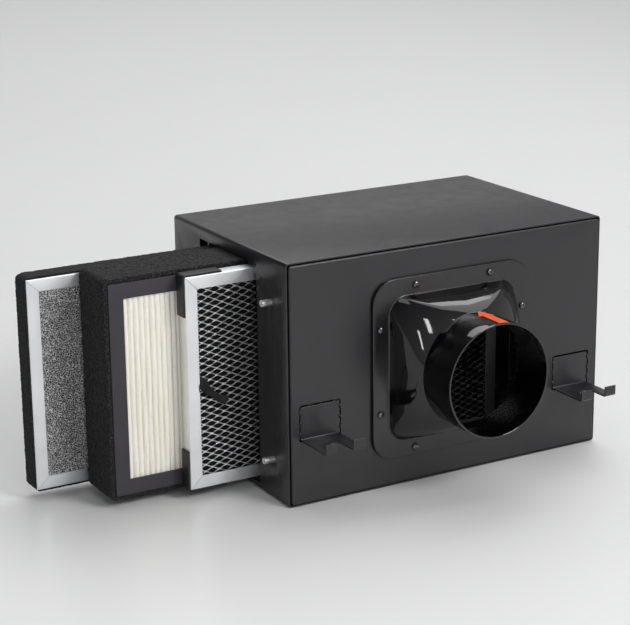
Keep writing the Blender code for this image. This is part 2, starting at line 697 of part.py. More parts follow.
def wrap(name, half_x, half_z, corner, thickness, front, back):
    """A soft strip wrapped round a cartridge frame, its outer edges eased."""
    ease = 0.0006
    inner_x, inner_z = half_x - thickness, half_z - thickness
    return closed_loft(name, [
        rounded_ring(inner_x, inner_z, 0.0006, front),
        rounded_ring(half_x - ease, half_z - ease, corner - ease, front),
        rounded_ring(half_x, half_z, corner, front + ease),
        rounded_ring(half_x, half_z, corner, back - ease),
        rounded_ring(half_x - ease, half_z - ease, corner - ease, back),
        rounded_ring(inner_x, inner_z, 0.0006, back),
    ])


def hepa_cartridge():
    """Board frame round a pleated pack, with a foam strip glued round the rim."""
    carrier = body_empty("hepa_slide", CARTRIDGE_SEATED_X - HEPA_PULLED, HEPA_FRONT, HEPA_CENTRE_Z)
    half_x = CARTRIDGE_LENGTH / 2 - HEPA_FOAM
    half_z = HEPA_FRAME_HEIGHT / 2
    corner = 0.0008

    def ring(inset, y):
        return rounded_ring(half_x - inset, half_z - inset, corner, y, steps=2)

    frame = closed_loft("hepa_frame", [
        ring(0, 0), ring(0, HEPA_DEPTH), ring(HEPA_FACE, HEPA_DEPTH),
        ring(HEPA_FACE, HEPA_DEPTH - HEPA_LIP), ring(HEPA_BOARD, HEPA_DEPTH - HEPA_LIP),
        ring(HEPA_BOARD, HEPA_LIP), ring(HEPA_FACE, HEPA_LIP), ring(HEPA_FACE, 0),
    ])
    place(frame, FRAME_BOARD, parent=carrier)

    pocket = HEPA_BOARD + GAP
    depth = HEPA_DEPTH - 2 * (HEPA_LIP + GAP)
    pack = pleat_pack("hepa_pleat_pack", 2 * (half_x - pocket), depth, 2 * (half_z - pocket))
    place(pack, FILTER_PAPER, location=(0, HEPA_DEPTH / 2, 0), parent=carrier)

    foam_half_z = half_z + HEPA_FOAM
    foam = wrap("hepa_foam_wrap", CARTRIDGE_LENGTH / 2, foam_half_z, HEPA_FOAM_CORNER,
                HEPA_FOAM - GAP, 0.0008, HEPA_DEPTH - 0.0004)
    place(foam, BLACK_FOAM, parent=carrier)


def carbon_cartridge():
    """Channel frame round a carbon-loaded foam slab, with felt round the rim."""
    carrier = body_empty("carbon_slide", CARTRIDGE_SEATED_X - CARBON_PULLED, CARBON_FRONT,
                         CARBON_CENTRE_Z)
    width = CARTRIDGE_LENGTH - 2 * CARBON_FELT
    channel_frame("carbon", width, CARBON_FRAME_HEIGHT, CARBON_FACE, CARBON_DEPTH,
                  ALUMINIUM, carrier)
    clear = 2 * (CHANNEL_SHEET + GAP)
    slab = block("carbon_foam_slab", (width - clear, CARBON_DEPTH - clear, CARBON_FRAME_HEIGHT - clear))
    place(slab, CARBON_FOAM, location=(0, CARBON_DEPTH / 2, 0), parent=carrier)
    felt = wrap("carbon_felt_wrap", CARTRIDGE_LENGTH / 2, CARBON_FRAME_HEIGHT / 2 + CARBON_FELT,
                CARBON_FELT_CORNER, CARBON_FELT - GAP, 0.0004, CARBON_DEPTH)
    place(felt, BLACK_FOAM, parent=carrier)


# ---------------------------------------------------------------- assembly
housing_shell()
for end_label, end_facing in (("inlet", -1), ("outlet", 1)):
    end_holes = screw_hole_cutter(f"{end_label}_screw_holes", end_facing * END_Y)
    end_panel("front_panel" if end_facing < 0 else "rear_panel", end_facing, end_holes)
    duct_collar(f"{end_label}_collar", end_facing, end_holes)
    collar_screws(end_label, end_facing)
airflow_arrow()
cartridge_guides()
cover_standoffs()
hanging_hooks()
prefilter()
hepa_cartridge()
carbon_cartridge()
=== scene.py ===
"""Looks of the inline fume filter box: housing, duct collars, hooks and three slide-out cartridges.

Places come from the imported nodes' boxes.
"""

import math

import bmesh
import bpy
import numpy as np
from mathutils import Matrix, Vector, noise


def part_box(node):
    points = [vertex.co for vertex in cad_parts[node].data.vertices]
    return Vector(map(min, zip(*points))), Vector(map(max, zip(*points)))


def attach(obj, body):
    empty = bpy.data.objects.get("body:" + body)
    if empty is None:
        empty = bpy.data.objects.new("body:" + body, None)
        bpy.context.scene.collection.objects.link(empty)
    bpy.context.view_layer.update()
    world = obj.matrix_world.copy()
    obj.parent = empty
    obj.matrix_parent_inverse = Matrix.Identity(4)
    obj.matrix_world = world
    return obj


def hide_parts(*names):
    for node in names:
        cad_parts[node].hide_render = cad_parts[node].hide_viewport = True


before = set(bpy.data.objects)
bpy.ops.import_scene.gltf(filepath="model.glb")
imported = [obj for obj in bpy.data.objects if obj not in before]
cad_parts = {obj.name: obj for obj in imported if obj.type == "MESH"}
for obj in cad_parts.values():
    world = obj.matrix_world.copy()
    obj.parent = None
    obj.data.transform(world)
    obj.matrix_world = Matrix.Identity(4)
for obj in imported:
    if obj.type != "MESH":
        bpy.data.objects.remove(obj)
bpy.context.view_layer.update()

# ------------ sizes, in metres
GAP = 0.0003
SHEET = 0.0012                # housing and hook sheet
CHANNEL_SHEET = 0.0008        # cartridge frames
BEND = 0.003                  # outside radius of the housing's folds
BAY_HALF_DEPTH = 0.0515       # the cartridge opening in the left wall
BAY_FLOOR, BAY_CEILING = 0.0062, 0.1972
FUNNEL_HALF, FUNNEL_CORNER = 0.063, 0.0166
FUNNEL_END = 0.034            # distance of the throat from the panel
FUNNEL_FLARE = 0.19           # share of the funnel's narrowing kept for its last stretch
FUNNEL_SWELL = 2.0            # above 1, the funnel's corners open out late
COLLAR_CORNER, COLLAR_WALL = 0.0208, 0.0018
COLLAR_THICKNESS = 0.003
HOOK_WIDTH = 0.037
HOOK_CORNER = 0.0012          # radius of a hook plate's top corners
HOOK_FOLD, HOOK_LIP = 0.0016, 0.0088  # radius of its folds, height of its lips
WELD_SIZE = (0.0013, 0.0012, 0.0019)
WINDOW_SIDE, WINDOW_TOP = 0.0011, 0.0016  # clearance round a hook's plate in its window
MESH_LONG, MESH_SHORT = 0.0126, 0.0059    # openings of the expanded metal
PLEAT_PITCH = 0.0048
SOFT_INSET = 0.00035          # keeps the soft strips' rough skin clear of the rails

SHELL_LOW, SHELL_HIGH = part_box("housing_shell")
PANEL_LOW, PANEL_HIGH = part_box("front_panel")
COLLAR_LOW, COLLAR_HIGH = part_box("inlet_collar")
HOUSING_HALF_X = SHELL_HIGH.x
HOUSING_HEIGHT = SHELL_HIGH.z
END_Y = -PANEL_LOW.y
SHELL_END_Y = SHELL_HIGH.y
PANEL_FLANGE = PANEL_HIGH.y - PANEL_LOW.y
DUCT_Z = HOUSING_HEIGHT / 2
COLLAR_HALF = COLLAR_HIGH.x
SPIGOT_END = -COLLAR_LOW.y - END_Y
DUCT_RADIUS = 0.04925
SCREW_OFFSET, SCREW_DISTANCE = 0.0369, 0.0713  # from the duct's axis, along and across a side
SCREW_PLACES = [place for along in (-SCREW_OFFSET, SCREW_OFFSET)
                for across in (-SCREW_DISTANCE, SCREW_DISTANCE)
                for place in ((along, across), (across, along))]
STANDOFF_HOLE, SCREW_HOLE = 0.0031, 0.0019    # radii
STANDOFFS = [f"{side}_{level}" for side in ("front", "rear") for level in ("lower", "upper")]


# ------------ material recipes
def add_node(tree, kind, inputs=None, **settings):
    """A new node; each input is a socket to link or a value to set."""
    node = tree.nodes.new(kind)
    for key, value in settings.items():
        setattr(node, key, value)
    for key, value in (inputs or {}).items():
        if isinstance(value, bpy.types.NodeSocket):
            tree.links.new(value, node.inputs[key])
        else:
            node.inputs[key].default_value = value
    return node


def add_ramp(tree, value, stops):
    """A colour ramp; stops are (position, (r, g, b))."""
    node = add_node(tree, "ShaderNodeValToRGB", {"Fac": value})
    elements = node.color_ramp.elements
    while len(elements) < len(stops):
        elements.new(0.5)
    for element, (position, colour) in zip(elements, stops):
        element.position = position
        element.color = (*colour, 1.0)
    return node.outputs["Color"]


class Recipe:
    """A node material being put together round one Principled shader."""

    def __init__(self, name, **settings):
        self.material = bpy.data.materials.new(name)
        self.material.use_nodes = True
        self.tree = self.material.node_tree
        self.shader = self.tree.nodes["Principled BSDF"]
        for key, value in settings.items():
            self.shader.inputs[key.replace("_", " ")].default_value = value
        self.where = self.add("ShaderNodeTexCoord").outputs["Object"]

    def add(self, kind, inputs=None, **settings):
        return add_node(self.tree, kind, inputs, **settings)

    def noise(self, scale, detail=3.0, roughness=0.5, stretch=None):
        """Noise over the object's coordinates, scaled along each axis if stretched."""
        where = self.where
        if stretch:
            where = self.add("ShaderNodeMapping", {"Vector": where, "Scale": stretch}).outputs["Vector"]
        return self.add("ShaderNodeTexNoise", {
            "Vector": where, "Scale": scale, "Detail": detail, "Roughness": roughness}).outputs["Fac"]

    def cells(self, scale, feature="F1"):
        return self.add("ShaderNodeTexVoronoi", {"Vector": self.where, "Scale": scale},
                        feature=feature).outputs["Distance"]

    def bands(self, scale, direction):
        return self.add("ShaderNodeTexWave", {"Vector": self.where, "Scale": scale, "Distortion": 0.4},
                        bands_direction=direction).outputs["Fac"]

    def spread(self, value, low, high, start=0.0, end=1.0):
        return self.add("ShaderNodeMapRange", {
            "Value": value, "From Min": start, "From Max": end, "To Min": low,
            "To Max": high}).outputs["Result"]

    def maths(self, operation, first, second):
        return self.add("ShaderNodeMath", {0: first, 1: second}, operation=operation).outputs[0]

    def colour(self, value, *stops):
        self.tree.links.new(add_ramp(self.tree, value, stops), self.shader.inputs["Base Color"])

    def roughness(self, socket):
        self.tree.links.new(socket, self.shader.inputs["Roughness"])

    def bump(self, *layers):
        """Bumps over each other; each layer is (height, depth in metres, strength), and a height
        is a socket or the settings of a noise."""
        below = None
        for height, depth, strength in layers:
            if isinstance(height, tuple):
                height = self.noise(*height)
            inputs = {"Height": height, "Distance": depth, "Strength": strength}
            if below:
                inputs["Normal"] = below
            below = self.add("ShaderNodeBump", inputs).outputs["Normal"]
        self.tree.links.new(below, self.shader.inputs["Normal"])


def grey(value, tint=(1.0, 1.0, 1.0)):
    return tuple(value * part for part in tint)


def drifting(name, drift, low, high, rough, *bumps, fine=None, **settings):
    """A finish that drifts between two tones; its roughness follows the drift or a finer noise."""
    recipe = Recipe(name, **settings)
    tone = recipe.noise(*drift)
    recipe.colour(tone, (0.3, low), (0.7, high))
    recipe.roughness(recipe.spread(recipe.noise(*fine) if fine else tone, *rough, 0.3, 0.7))
    recipe.bump(*bumps)
    return recipe.material


def grained(name, grain, swing, drift, stops, rough, relief, *bumps, **settings):
    """A finish with fibres or rolling grain along the piece, over a slow drift of tone."""
    recipe = Recipe(name, **settings)
    lines = recipe.noise(*grain)
    tone = recipe.maths("ADD", recipe.spread(lines, -swing, swing), recipe.noise(drift, 2.0))
    recipe.colour(tone, *stops)
    recipe.roughness(recipe.spread(lines, *rough, 0.3, 0.7))
    recipe.bump((lines, *relief), *bumps)
    return recipe.material


def gloss_black():
    """Moulded black plastic, mirror-like on the funnel and duller on the flat flange."""
    recipe = Recipe("gloss_black", IOR=1.6)
    recipe.colour(recipe.noise(25.0, 2.0), (0.3, (0.0014, 0.0015, 0.0019)), (0.7, (0.0024, 0.0025, 0.0030)))
    depth = recipe.add("ShaderNodeSeparateXYZ", {"Vector": recipe.where}).outputs["Y"]
    flange = recipe.spread(depth, 0.0, 0.17, -END_Y - 0.0045, -END_Y - 0.0034)
    smears = recipe.spread(recipe.noise(180.0, 4.0), 0.035, 0.07, 0.3, 0.7)
    recipe.roughness(recipe.maths("ADD", flange, smears))
    recipe.bump(((38.0, 1.0), 0.0006, 0.10), ((900.0, 2.0), 0.00003, 0.2))
    return recipe.material


def galvanised():
    recipe = Recipe("galvanised", Metallic=1.0)
    spangle = recipe.cells(160.0)
    recipe.colour(spangle, (0.1, grey(0.34)), (0.8, grey(0.50, (0.98, 1, 1.02))))
    recipe.roughness(recipe.spread(spangle, 0.36, 0.55))
    recipe.bump(((700.0, 2.0), 0.00004, 0.3))
    return recipe.material


def open_foam(name, dark, light, scale):
    """Porous foam or felt: cell walls over pores painted darker as painted shade in the holes, with a little
    fuzz at the edge.
    """
    recipe = Recipe(name, Sheen_Weight=0.04, Sheen_Roughness=0.5, Specular_IOR_Level=0.2)
    pores = recipe.cells(scale)
    fuzz = recipe.noise(scale * 1.7, 4.0, 0.7)
    # the pores painted darker: painted shade in the holes, times a random fuzz
    tone = recipe.maths("MULTIPLY", pores, recipe.spread(fuzz, 0.5, 1.5))
    recipe.colour(tone, (0.28, dark), (0.85, light))
    recipe.roughness(recipe.spread(fuzz, 0.86, 1.0))
    recipe.bump((pores, 0.0005, 0.6), (fuzz, 0.0004, 0.6))
    return recipe.material


def carbon_foam():
    """Reticulated foam: strands painted pale as a painted highlight where they catch the light, over pores
    painted black as painted shade.
    """
    recipe = Recipe("carbon_foam", Sheen_Weight=0.1)
    strands = recipe.cells(620.0, "DISTANCE_TO_EDGE")
    specks = recipe.noise(950.0, 3.0, 0.75)
    # painted highlight on the strands and painted shade in the pores, with random specks over both
    tone = recipe.maths("ADD", recipe.spread(strands, 0.5, 0.0, 0.0, 0.35),
                        recipe.spread(specks, -0.35, 0.65))
    recipe.colour(tone, (0.30, grey(0.004)), (0.47, grey(0.05)), (0.70, grey(0.85, (1, 1.01, 1))))
    recipe.roughness(recipe.spread(specks, 0.45, 0.9, 0.3, 0.7))
    recipe.bump((strands, -0.0006, 0.5), (specks, 0.0006, 0.7))
    return recipe.material


def webbing():
    """Woven strap: ribs across the strap, yarns along it."""
    recipe = Recipe("webbing", Sheen_Weight=0.08, Sheen_Roughness=0.4)
    weave = recipe.maths("MULTIPLY", recipe.bands(450.0, "X"), recipe.bands(320.0, "Z"))
    recipe.colour(weave, (0.1, grey(0.005)), (0.9, grey(0.010, (1, 1, 1.04))))
    recipe.roughness(recipe.spread(weave, 0.9, 0.7))
    recipe.bump((weave, 0.00015, 0.35), ((2500.0, 2.0), 0.0001, 0.3))
    return recipe.material


MATERIALS = {
    "powder_coat": drifting(
        "powder_coat", (11.0, 2.0), (0.0085, 0.0080, 0.0095), (0.0115, 0.0108, 0.0128), (0.29, 0.37),
        ((420.0, 2.0), 0.00012, 0.25), ((2600.0, 2.0), 0.00006, 0.35), fine=(60.0, 3.0), IOR=1.56),
    "gloss_black": gloss_black(),
    "black_zinc": drifting(
        "black_zinc", (300.0, 2.0), grey(0.10), grey(0.22, (1, 1, 1.05)), (0.16, 0.28),
        ((1500.0, 2.0), 0.00003, 0.3), Metallic=1.0),
    "bright_zinc": drifting(
        "bright_zinc", (240.0, 3.0), grey(0.74, (1, 1, 0.97)), grey(0.88, (1, 0.99, 0.96)), (0.36, 0.50),
        ((1.0, 2.0, 0.5, (2400.0, 60.0, 60.0)), 0.00002, 0.2), Metallic=1.0),
    "galvanised": galvanised(),
    "aluminium": grained(
        "satin_aluminium", (1.0, 4.0, 0.6, (40.0, 1500.0, 1500.0)), 0.1, 28.0,
        [(0.3, (0.78, 0.785, 0.80)), (0.7, (0.87, 0.875, 0.88))], (0.40, 0.52),
        (0.00003, 0.25), ((1800.0, 2.0), 0.00002, 0.3), Metallic=1.0),
    "expanded": drifting(
        "mesh_aluminium", (420.0, 3.0), grey(0.62), grey(0.86, (1, 1, 1.02)), (0.26, 0.42),
        ((1400.0, 3.0), 0.00005, 0.4), Metallic=1.0),
    "black_plastic": drifting(
        "black_plastic", (90.0, 3.0), grey(0.009), grey(0.014, (1, 1, 1.03)), (0.42, 0.56),
        ((1300.0, 2.0), 0.00005, 0.35), fine=(260.0, 3.0)),
    "frame_board": grained(
        "frame_board", (1.0, 5.0, 0.65, (900.0, 900.0, 260.0)), 0.18, 22.0,
        [(0.3, (0.028, 0.0255, 0.031)), (0.7, (0.040, 0.0365, 0.043))], (0.55, 0.75),
        (0.00008, 0.3)),
    "filter_paper": grained(
        "filter_paper", (1.0, 6.0, 0.7, (1500.0, 1500.0, 500.0)), 0.2, 14.0,
        [(0.25, (0.93, 0.895, 0.79)), (0.75, (0.97, 0.94, 0.86))], (0.8, 0.95),
        (0.0001, 0.4), ((160.0, 2.0), 0.0003, 0.15), Subsurface_Weight=0.12, Subsurface_Scale=0.003,
        Subsurface_Radius=(1.0, 1.0, 1.0)),
    "black_foam": open_foam("black_foam", grey(0.0020), grey(0.038), 820.0),
    "black_felt": open_foam("black_felt", grey(0.002), grey(0.036), 1200.0),
    "black_fleece": open_foam("black_fleece", grey(0.0008), grey(0.004), 1500.0),
    "carbon_foam": carbon_foam(),
    "webbing": webbing(),
    "label_orange": drifting(
        "label_orange", (120.0, 3.0), (0.82, 0.095, 0.012), (0.93, 0.125, 0.02), (0.38, 0.5),
        ((600.0, 2.0), 0.00003, 0.3)),
}


# ------------ piece helpers
def add_object(name, data):
    obj = bpy.data.objects.new(name, data)
    bpy.context.scene.collection.objects.link(obj)
    return obj


def piece(name, mesh, finish, body, nodes=(), place=None):
    """A finished piece: its object, material, body and the nodes it stands for."""
    obj = add_object(name, mesh)
    if place is not None:
        obj.matrix_world = place
    if not mesh.materials:
        mesh.materials.append(MATERIALS[finish])
    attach(obj, body)
    if nodes:
        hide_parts(*nodes)
    return obj


def mesh_from(name, points, faces, sharp=30):
    """A mesh with outward normals, smooth up to the given angle."""
    bm = bmesh.new()
    verts = [bm.verts.new(point) for point in points]
    for face in faces:
        bm.faces.new([verts[i] for i in face])
    return mesh_from_bmesh(name, bm, sharp)


def mesh_from_bmesh(name, bm, sharp=30):
    bmesh.ops.recalc_face_normals(bm, faces=bm.faces)
    mesh = bpy.data.meshes.new(name)
    bm.to_mesh(mesh)
    bm.free()
    return smoothed(mesh, sharp)


def smoothed(mesh, sharp):
    mesh.shade_smooth()
    mesh.set_sharp_from_angle(angle=math.radians(sharp))
    return mesh


def join_meshes(name, meshes, sharp=30):
    bm = bmesh.new()
    for mesh in meshes:
        bm.from_mesh(mesh)
    return mesh_from_bmesh(name, bm, sharp)


def moved(mesh, place):
    copy = mesh.copy()
    copy.transform(place)
    return copy


def centre_of(node):
    low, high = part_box(node)
    return (low + high) / 2


def modified(name, mesh, *steps, sharp=30):
    """The mesh with modifiers applied; each step is (type, settings)."""
    obj = add_object(name, mesh)
    for kind, settings in steps:
        modifier = obj.modifiers.new(kind.lower(), kind)
        for key, value in settings.items():
            setattr(modifier, key, value)
    bpy.context.view_layer.update()
    evaluated = obj.evaluated_get(bpy.context.evaluated_depsgraph_get())
    made = bpy.data.meshes.new_from_object(evaluated)
    bpy.data.objects.remove(obj, do_unlink=True)
    return smoothed(made, sharp)


def cut_out(name, mesh, cutter, *more, sharp=30):
    """The mesh less the cutter, then any further modifiers."""
    tool = add_object(name + "_cutter", cutter)
    step = ("BOOLEAN", {"operation": "DIFFERENCE", "solver": "EXACT", "object": tool})
    made = modified(name, mesh, step, *more, sharp=sharp)
    bpy.data.objects.remove(tool, do_unlink=True)
    return made


EASED_EDGES = ("BEVEL", {"width": 0.00022, "segments": 2, "limit_method": "ANGLE",
                         "angle_limit": math.radians(40), "harden_normals": False})


def box_mesh(name, low, high):
    bm = bmesh.new()
    size = [b - a for a, b in zip(low, high)]
    middle = [(a + b) / 2 for a, b in zip(low, high)]
    bmesh.ops.create_cube(bm, size=1.0, matrix=Matrix.Translation(middle) @ Matrix.Diagonal((*size, 1)))
    return mesh_from_bmesh(name, bm)


def cylinder_mesh(name, start, end, radius, segments=32):
    bm = bmesh.new()
    axis = Vector(end) - Vector(start)
    turn = axis.to_track_quat("Z", "Y").to_matrix().to_4x4()
    place = Matrix.Translation((Vector(start) + Vector(end)) / 2) @ turn
    bmesh.ops.create_cone(bm, cap_ends=True, segments=segments, radius1=radius, radius2=radius,
                          depth=axis.length, matrix=place)
    return mesh_from_bmesh(name, bm)


def turned(name, profile, steps=32, sharp=30):
    """A solid of revolution about local Z from (radius, z) points."""
    points, faces, rings = [], [], []
    for radius, z in profile:
        if radius < 1e-7:
            points.append((0, 0, z))
            rings.append([len(points) - 1] * steps)
            continue
        first = len(points)
        for step in range(steps):
            angle = 2 * math.pi * step / steps
            points.append((radius * math.cos(angle), radius * math.sin(angle), z))
        rings.append(list(range(first, first + steps)))
    for ring, following in zip(rings, rings[1:]):
        for i in range(steps):
            j = (i + 1) % steps
            corners = [ring[i], ring[j], following[j], following[i]]
            faces.append(list(dict.fromkeys(corners)))
    return mesh_from(name, points, faces, sharp)


def loft(name, rings, sharp=30, capped=False):
    """Rings of equal count joined one to the next, and the last to the first unless capped."""
    count = len(rings[0])
    points = [point for ring in rings for point in ring]
    faces = []
    for level in range(len(rings) - 1 if capped else len(rings)):
        base, above = level * count, (level + 1) % len(rings) * count
        for i in range(count):
            j = (i + 1) % count
            faces.append((base + i, base + j, above + j, above + i))
    if capped:
        faces += [list(range(count)), list(range(len(points) - count, len(points)))]
    return mesh_from(name, points, faces, sharp)


def upright_prism(name, outline, front, back):
    """A solid with the given x, z outline between two depths."""
    return loft(name, [[(x, y, z) for x, z in outline] for y in (front, back)], capped=True)


def rounded_ring(half_x, half_z, radius, y, steps=10, middle_z=0.0):
    points = []
    for quarter, (sign_x, sign_z) in enumerate(((1, 1), (-1, 1), (-1, -1), (1, -1))):
        for step in range(steps + 1):
            angle = math.radians(90 * (quarter + step / steps))
            points.append((sign_x * (half_x - radius) + radius * math.cos(angle), y,
                           middle_z + sign_z * (half_z - radius) + radius * math.sin(angle)))
    return points


def arc(centre, radius, start, end, steps):
    angles = [math.radians(start + (end - start) * i / steps) for i in range(steps + 1)]
    return [(centre[0] + radius * math.cos(a), centre[1] + radius * math.sin(a)) for a in angles]


def bezier(first, middle, last, steps):
    """Points of a quadratic curve, as tuples."""
    points = []
    for step in range(steps + 1):
        t = step / steps
        points.append(tuple((1 - t) ** 2 * a + 2 * t * (1 - t) * b + t * t * c
                            for a, b, c in zip(first, middle, last)))
    return points


def facing(end):
    """The place of a piece built at the inlet end: as it is, or turned round to the outlet end."""
    return Matrix.Identity(4) if end < 0 else Matrix.Rotation(math.pi, 4, "Z")


# ------------ housing
def housing_shell():
    half_x, half_z, end = HOUSING_HALF_X, HOUSING_HEIGHT / 2, SHELL_END_Y
    inner, outside, inside = BEND - SHEET, -HOUSING_HALF_X - 0.005, -HOUSING_HALF_X + 0.005
    shell = loft("shell", [
        rounded_ring(half_x, half_z, BEND, -end, middle_z=half_z),
        rounded_ring(half_x, half_z, BEND, end, middle_z=half_z),
        rounded_ring(half_x - SHEET, half_z - SHEET, inner, end, middle_z=half_z),
        rounded_ring(half_x - SHEET, half_z - SHEET, inner, -end, middle_z=half_z),
    ])
    opening = box_mesh("opening", (outside, -BAY_HALF_DEPTH, BAY_FLOOR),
                       (inside, BAY_HALF_DEPTH, BAY_CEILING))
    shell = cut_out("shell", shell, opening)
    holes = []
    for corner in STANDOFFS:
        middle = centre_of(f"cover_standoff_{corner}")
        holes.append(cylinder_mesh("hole", (outside, middle.y, middle.z), (inside, middle.y, middle.z),
                                   STANDOFF_HOLE))
    shell = cut_out("shell", shell, join_meshes("holes", holes), EASED_EDGES)
    piece("shell_skin", shell, "powder_coat", "housing", ["housing_shell"])


def end_panel(name, end, node):
    half_x, half_z = PANEL_HIGH.x, (PANEL_HIGH.z - PANEL_LOW.z) / 2
    hole, corner = FUNNEL_HALF - COLLAR_WALL, FUNNEL_CORNER - COLLAR_WALL
    roll, eased, outer, inner = 0.0017, 0.0002, 0.0022, 0.001

    def ring(size_x, size_z, radius, depth):
        return rounded_ring(size_x, size_z, radius, -END_Y + depth, middle_z=DUCT_Z)

    rings = [ring(hole, hole, corner, SHEET), ring(hole, hole, corner, eased),
             ring(hole + eased, hole + eased, corner + eased, 0)]
    for inset, depth in bezier((roll, 0), (0, 0), (0, roll), 6):
        rings.append(ring(half_x - inset, half_z - inset, outer - 0.9 * inset, depth))
    rings.append(ring(half_x, half_z, outer, PANEL_FLANGE))
    rings += [ring(half_x - SHEET, half_z - SHEET, inner, depth) for depth in (PANEL_FLANGE, SHEET)]
    low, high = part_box("hanging_hook_front_left")
    windows = []
    for side in (-1, 1):
        middle, half = side * (low.x + high.x) / 2, HOOK_WIDTH / 2 + WINDOW_SIDE
        radius, head = HOOK_CORNER + WINDOW_SIDE, high.z + WINDOW_TOP
        outline = [(middle - half, low.z - 0.0006), (middle + half, low.z - 0.0006)]
        for turn in (0, 1):
            centre = (middle + (half - radius) * (1 - 2 * turn), head - radius)
            outline += arc(centre, radius, 90 * turn, 90 * turn + 90, 6)
        windows.append(upright_prism("window", outline, -END_Y - 0.005, -END_Y + 0.005))
    panel = cut_out(name, loft(name, rings), join_meshes("windows", windows))
    piece(name, panel, "powder_coat", "housing", [node], facing(end))


def cover_standoffs():
    """Threaded standoffs: a turned barrel with chamfers, a threaded blind bore and an inner head."""
    radius, tip, bore, chamfer = 0.0028, 0.010, 0.00145, 0.00035
    turns, start, end = 14, 0.0026, tip - chamfer
    neck, head, seat, base = radius - 0.0002, 0.0038, -0.0015, -0.0027
    profile = [(0, 0.002), (bore * 0.4, 0.0021)]
    for turn in range(turns):
        z = start + (end - start) * turn / turns
        profile += [(bore - 0.0002, z), (bore + 0.00005, z + 0.5 * (end - start) / turns)]
    profile += [(bore, end), (bore + chamfer, tip), (radius - chamfer, tip),
                (radius - 0.0001, tip - 0.0002), (radius, tip - chamfer), (radius, 0.0006),
                (neck, 0.0003), (neck, seat), (head, seat), (head, base), (0, base)]
    mesh = turned("standoff", profile, 40, sharp=25)
    for corner in STANDOFFS:
        node = f"cover_standoff_{corner}"
        middle = centre_of(node)
        piece(f"standoff_{corner}", mesh, "bright_zinc", "housing", [node],
              Matrix.Translation((-HOUSING_HALF_X, middle.y, middle.z))
              @ Matrix.Rotation(-math.pi / 2, 4, "Y"))


# ------------ duct collars
def collar_ring(half, radius, roundness, duct_radius, distance, steps=18):
    """A section at a distance from the panel: a rounded square growing into a circle."""
    facet = 5.0
    points = []
    for quarter in range(4):
        turn = math.radians(90 * quarter)
        pairs = [((half, 0.0), (duct_radius, 0.0))]
        for step in range(steps + 1):
            corner = math.radians(90 * step / steps)
            square = (half - radius + radius * math.cos(corner), half - radius + radius * math.sin(corner))
            spread = math.radians(facet + (90 - 2 * facet) * step / steps)
            pairs.append((square, (duct_radius * math.cos(spread), duct_radius * math.sin(spread))))
        for square, circle in pairs:
            x = square[0] + (circle[0] - square[0]) * roundness
            z = square[1] + (circle[1] - square[1]) * roundness
            points.append((x * math.cos(turn) - z * math.sin(turn), -END_Y - distance,
                           DUCT_Z + x * math.sin(turn) + z * math.cos(turn)))
    return points


def funnel_sections(half, corner, duct_radius, start, end, count=24):
    """(half, corner radius, roundness, circle radius, distance) down the funnel."""
    sections = []
    for share in (i / count for i in range(1, count + 1)):
        size = half + (duct_radius - half) * ((1 - FUNNEL_FLARE) * share + FUNNEL_FLARE * share ** 6)
        sections.append((size, corner, share ** FUNNEL_SWELL, size, start + (end - start) * share))
    return sections


def duct_collar(name, end, node):
    face = COLLAR_THICKNESS + GAP
    inner_duct = DUCT_RADIUS - COLLAR_WALL
    inner_half, inner_corner = FUNNEL_HALF - COLLAR_WALL, FUNNEL_CORNER - COLLAR_WALL
    sections = []
    edge, lip, inner_lip = 0.001, 0.0006, 0.0005      # rounding of the flange and the spigot's end
    for inset, distance in bezier((0, face - edge), (0, face), (edge, face), 5):
        sections.append((COLLAR_HALF - inset, COLLAR_CORNER - inset, 0, DUCT_RADIUS, distance))
    sections.insert(0, (COLLAR_HALF, COLLAR_CORNER, 0, DUCT_RADIUS, GAP))
    fillet = 0.0010
    share = fillet / (FUNNEL_END - face)
    drop = (1 - FUNNEL_FLARE) * share * (FUNNEL_HALF - DUCT_RADIUS)
    foot = bezier((fillet, 0, 0), (0, 0, 0), (-drop, fillet, share ** FUNNEL_SWELL), 6)
    for reach, distance, roundness in foot:
        size = FUNNEL_HALF + reach
        sections.append((size, FUNNEL_CORNER + max(reach, 0), roundness, size, face + distance))
    for section in funnel_sections(FUNNEL_HALF, FUNNEL_CORNER, DUCT_RADIUS, face, FUNNEL_END):
        if section[4] > face + 1.5 * fillet:
            sections.append(section)
    for inset, distance in bezier((0, SPIGOT_END - lip), (0, SPIGOT_END), (lip, SPIGOT_END), 4):
        sections.append((FUNNEL_HALF, FUNNEL_CORNER, 1, DUCT_RADIUS - inset, distance))
    for inset, distance in bezier((inner_lip, SPIGOT_END), (0, SPIGOT_END), (0, SPIGOT_END - inner_lip), 4):
        sections.append((FUNNEL_HALF, FUNNEL_CORNER, 1, inner_duct + inset, distance))
    inside = funnel_sections(inner_half, inner_corner, inner_duct, face + COLLAR_WALL,
                             FUNNEL_END - 0.0012)
    sections += inside[::-1]
    sections += [(inner_half, inner_corner, 0, inner_duct, face + COLLAR_WALL),
                 (inner_half, inner_corner, 0, inner_duct, GAP)]
    collar = loft("collar", [collar_ring(*section) for section in sections], sharp=22)
    holes = [cylinder_mesh("hole", (x, -END_Y + 0.005, DUCT_Z + z), (x, -END_Y - 0.01, DUCT_Z + z),
                           SCREW_HOLE) for x, z in SCREW_PLACES]
    collar = cut_out("collar", collar, join_meshes("holes", holes), sharp=22)
    boss = turned("boss", [(0.00335, -0.0004), (0.00335, 0.0001), (0.0035, 0.0003), (0.0040, 0.0003),
                           (0.0042, 0.0001), (0.0042, -0.0004)], 32, sharp=50)
    bosses = [moved(boss, Matrix.Translation((x, -END_Y - face, DUCT_Z + z))
                    @ Matrix.Rotation(math.pi / 2, 4, "X")) for x, z in SCREW_PLACES]
    piece(name, join_meshes(name, [collar, *bosses], sharp=22), "gloss_black", "housing", [node],
          facing(end))


